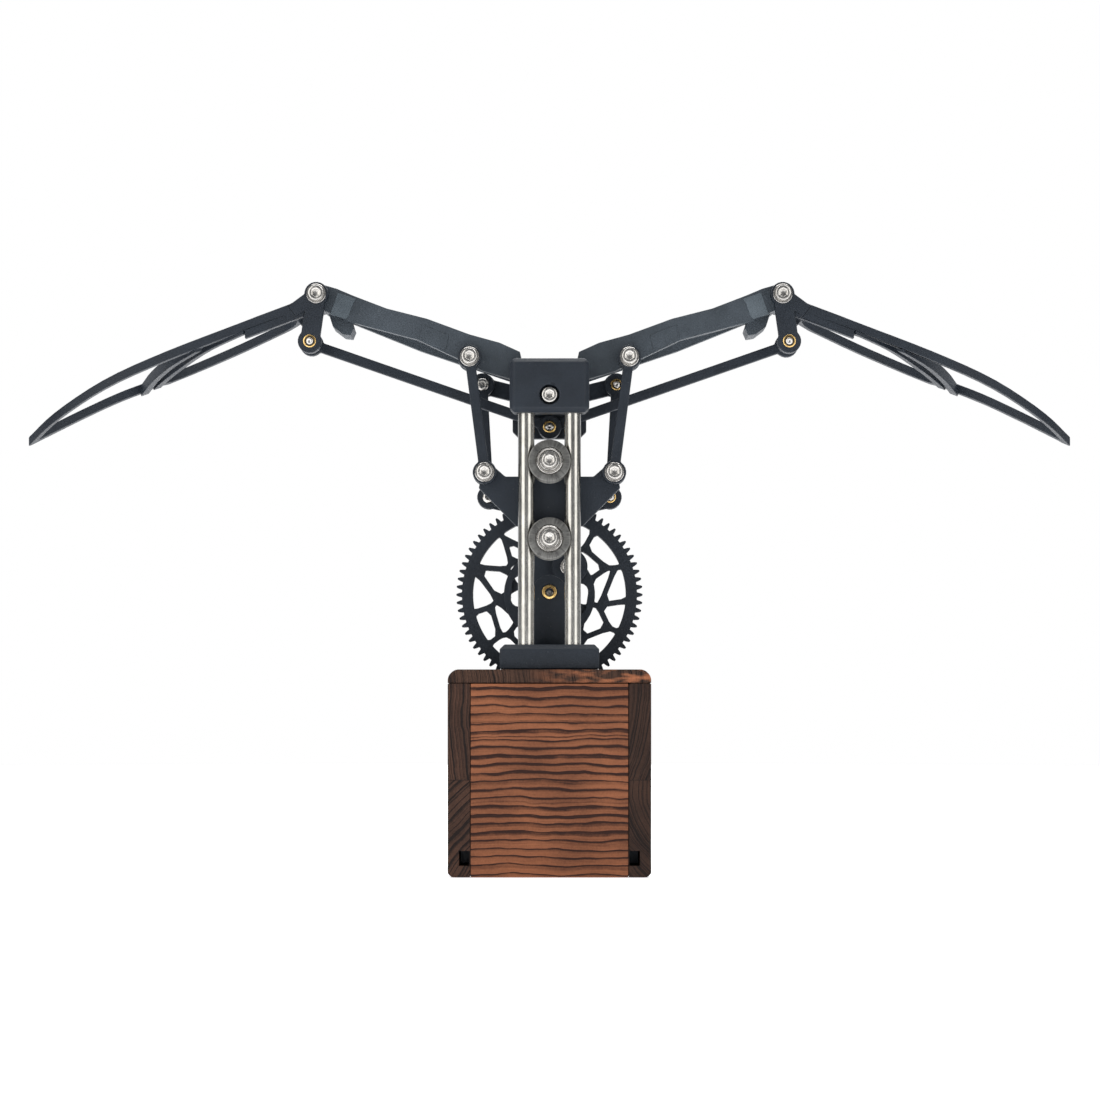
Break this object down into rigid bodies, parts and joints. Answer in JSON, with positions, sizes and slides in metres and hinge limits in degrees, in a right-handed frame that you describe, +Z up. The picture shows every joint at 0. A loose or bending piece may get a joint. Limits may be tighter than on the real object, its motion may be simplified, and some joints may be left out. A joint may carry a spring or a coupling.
{
  "type": "flapping wing mechanism",
  "caption": "Motor-driven flapping wing model on a wooden box, with a sliding carriage, rollers, pushrods, jointed feather-frame wings and an open-web gear.",
  "frame": {"origin": "centre of the bottom of the object's box, which is the centre of the wooden box's underside", "axes": "+X to the right wing tip as seen from the front, +Y to the back, +Z up"},
  "size_m": [0.3872, 0.081, 0.2142],
  "materials": {
    "black_plastic": "matte 3-D printed",
    "steel": "bright turned",
    "brass": "bright",
    "charred_wood": "scorched and oiled",
    "motor_metal": "plated"
  },
  "bodies": {
    "frame": {"top_board": "charred_wood", "left_board": "charred_wood", "right_board": "charred_wood", "front_board": "charred_wood", "back_board": "charred_wood", "bottom_board": "black_plastic", "foot_bracket": "black_plastic", "left_guide_rod": "steel", "right_guide_rod": "steel", "head_block": "black_plastic", "head_screw": "steel", "hip_plate": "black_plastic", "left_shoulder_pin": "steel", "right_shoulder_pin": "steel", "left_rocker_pin": "steel", "right_rocker_pin": "steel", "body_link_pin": "steel", "front_gear_post": "black_plastic", "front_post_insert": "brass", "rear_gear_post": "black_plastic", "gear_motor": "motor_metal", "motor_mount": "black_plastic"},
    "drive": {"drive_gear": "black_plastic", "gear_axle": "steel", "crank_web": "black_plastic"},
    "pinion": {"pinion": "brass"},
    "carriage": {"carriage": "black_plastic", "wrist_pin": "steel", "upper_roller_screw": "steel", "lower_roller_screw": "steel", "left_pushrod_lower_screw": "steel", "right_pushrod_lower_screw": "steel", "left_rear_lower_screw": "steel", "right_rear_lower_screw": "steel"},
    "upper_roller": {"upper_roller": "steel"},
    "lower_roller": {"lower_roller": "steel"},
    "connecting_rod": {"connecting_rod": "black_plastic", "crank_pin": "steel"},
    "left_inner_wing": {"left_inner_wing": "black_plastic"},
    "left_outer_wing": {"left_outer_wing": "black_plastic", "left_elbow_pin": "steel"},
    "left_front_pushrod": {"left_front_pushrod": "black_plastic", "left_pushrod_upper_screw": "steel"},
    "left_rear_pushrod": {"left_rear_pushrod": "black_plastic", "left_rear_upper_screw": "steel"},
    "left_control_link": {"left_control_link": "black_plastic", "left_horn_pin": "steel"},
    "left_rear_rocker": {"left_rear_rocker": "black_plastic"},
    "right_inner_wing": {"right_inner_wing": "black_plastic"},
    "right_outer_wing": {"right_outer_wing": "black_plastic", "right_elbow_pin": "steel"},
    "right_front_pushrod": {"right_front_pushrod": "black_plastic", "right_pushrod_upper_screw": "steel"},
    "right_rear_pushrod": {"right_rear_pushrod": "black_plastic", "right_rear_upper_screw": "steel"},
    "right_control_link": {"right_control_link": "black_plastic", "right_horn_pin": "steel"},
    "right_rear_rocker": {"right_rear_rocker": "black_plastic"}
  },
  "joints": [
    {"name": "carriage_slide", "type": "slide", "parent": "frame", "child": "carriage", "axis": [0, 0, 1], "range_m": [-0.022, 0.0035]},
    {"name": "gear_spin", "type": "hinge", "parent": "frame", "child": "drive", "pos_m": [0, 0.009, 0.10245], "axis": [0, -1, 0], "continuous": true},
    {"name": "pinion_spin", "type": "hinge", "parent": "frame", "child": "pinion", "pos_m": [0, 0.009, 0.06285], "axis": [0, -1, 0], "continuous": true},
    {"name": "connecting_rod_swing", "type": "hinge", "parent": "carriage", "child": "connecting_rod", "pos_m": [0, 0.0031, 0.13868], "axis": [0, -1, 0], "range_deg": [-43, 13.4]},
    {"name": "upper_roller_spin", "type": "hinge", "parent": "carriage", "child": "upper_roller", "pos_m": [0, -0.0285, 0.1489], "axis": [0, -1, 0], "range_deg": [-38.5, 237]},
    {"name": "lower_roller_spin", "type": "hinge", "parent": "carriage", "child": "lower_roller", "pos_m": [0, -0.0285, 0.1211], "axis": [0, -1, 0], "range_deg": [-237, 38.5]},
    {"name": "left_shoulder", "type": "hinge", "parent": "frame", "child": "left_inner_wing", "pos_m": [-0.008, -0.0219, 0.1816], "axis": [0, 1, 0], "range_deg": [-60, 10]},
    {"name": "left_elbow", "type": "hinge", "parent": "left_inner_wing", "child": "left_outer_wing", "pos_m": [-0.0842, -0.0261, 0.2098], "axis": [0, 1, 0], "range_deg": [-11.5, 70]},
    {"name": "left_front_pushrod_pivot", "type": "hinge", "parent": "carriage", "child": "left_front_pushrod", "pos_m": [-0.0234, -0.0279, 0.1452], "axis": [0, 1, 0], "range_deg": [-1.5, 6]},
    {"name": "left_rear_pushrod_pivot", "type": "hinge", "parent": "carriage", "child": "left_rear_pushrod", "pos_m": [-0.0224, -0.0035, 0.138], "axis": [0, 1, 0], "range_deg": [-1.5, 6.5]},
    {"name": "left_rear_rocker_pivot", "type": "hinge", "parent": "frame", "child": "left_rear_rocker", "pos_m": [-0.004, -0.0003, 0.1743], "axis": [0, 1, 0], "range_deg": [-62.5, 10.5]},
    {"name": "left_control_link_pivot", "type": "hinge", "parent": "frame", "child": "left_control_link", "pos_m": [0, -0.0173, 0.1626], "axis": [0, 1, 0], "range_deg": [-52.5, 9]},
    {"name": "right_shoulder", "type": "hinge", "parent": "frame", "child": "right_inner_wing", "pos_m": [0.008, -0.0219, 0.1816], "axis": [0, -1, 0], "range_deg": [-60, 10]},
    {"name": "right_elbow", "type": "hinge", "parent": "right_inner_wing", "child": "right_outer_wing", "pos_m": [0.0842, -0.0261, 0.2098], "axis": [0, -1, 0], "range_deg": [-11.5, 70]},
    {"name": "right_front_pushrod_pivot", "type": "hinge", "parent": "carriage", "child": "right_front_pushrod", "pos_m": [0.0234, -0.0279, 0.1452], "axis": [0, -1, 0], "range_deg": [-1.5, 6]},
    {"name": "right_rear_pushrod_pivot", "type": "hinge", "parent": "carriage", "child": "right_rear_pushrod", "pos_m": [0.0224, -0.0035, 0.138], "axis": [0, -1, 0], "range_deg": [-1.5, 6.5]},
    {"name": "right_rear_rocker_pivot", "type": "hinge", "parent": "frame", "child": "right_rear_rocker", "pos_m": [0.004, -0.0003, 0.1743], "axis": [0, -1, 0], "range_deg": [-62.5, 10.5]},
    {"name": "right_control_link_pivot", "type": "hinge", "parent": "frame", "child": "right_control_link", "pos_m": [0, -0.0141, 0.1626], "axis": [0, -1, 0], "range_deg": [-52.5, 9]}
  ],
  "couplings": [
    {"joint": "pinion_spin", "follows": "gear_spin", "ratio": -6},
    {"joint": "upper_roller_spin", "follows": "carriage_slide", "rad_per_m": -187},
    {"joint": "lower_roller_spin", "follows": "carriage_slide", "rad_per_m": 187},
    {"joint": "left_shoulder", "follows": "carriage_slide", "rad_per_m": 47},
    {"joint": "left_elbow", "follows": "carriage_slide", "rad_per_m": -55},
    {"joint": "left_front_pushrod_pivot", "follows": "carriage_slide", "rad_per_m": -4.5},
    {"joint": "left_rear_pushrod_pivot", "follows": "carriage_slide", "rad_per_m": -5},
    {"joint": "left_rear_rocker_pivot", "follows": "carriage_slide", "rad_per_m": 49},
    {"joint": "left_control_link_pivot", "follows": "carriage_slide", "rad_per_m": 41},
    {"joint": "right_shoulder", "follows": "carriage_slide", "rad_per_m": 47},
    {"joint": "right_elbow", "follows": "carriage_slide", "rad_per_m": -55},
    {"joint": "right_front_pushrod_pivot", "follows": "carriage_slide", "rad_per_m": -4.5},
    {"joint": "right_rear_pushrod_pivot", "follows": "carriage_slide", "rad_per_m": -5},
    {"joint": "right_rear_rocker_pivot", "follows": "carriage_slide", "rad_per_m": 49},
    {"joint": "right_control_link_pivot", "follows": "carriage_slide", "rad_per_m": 41}
  ]
}
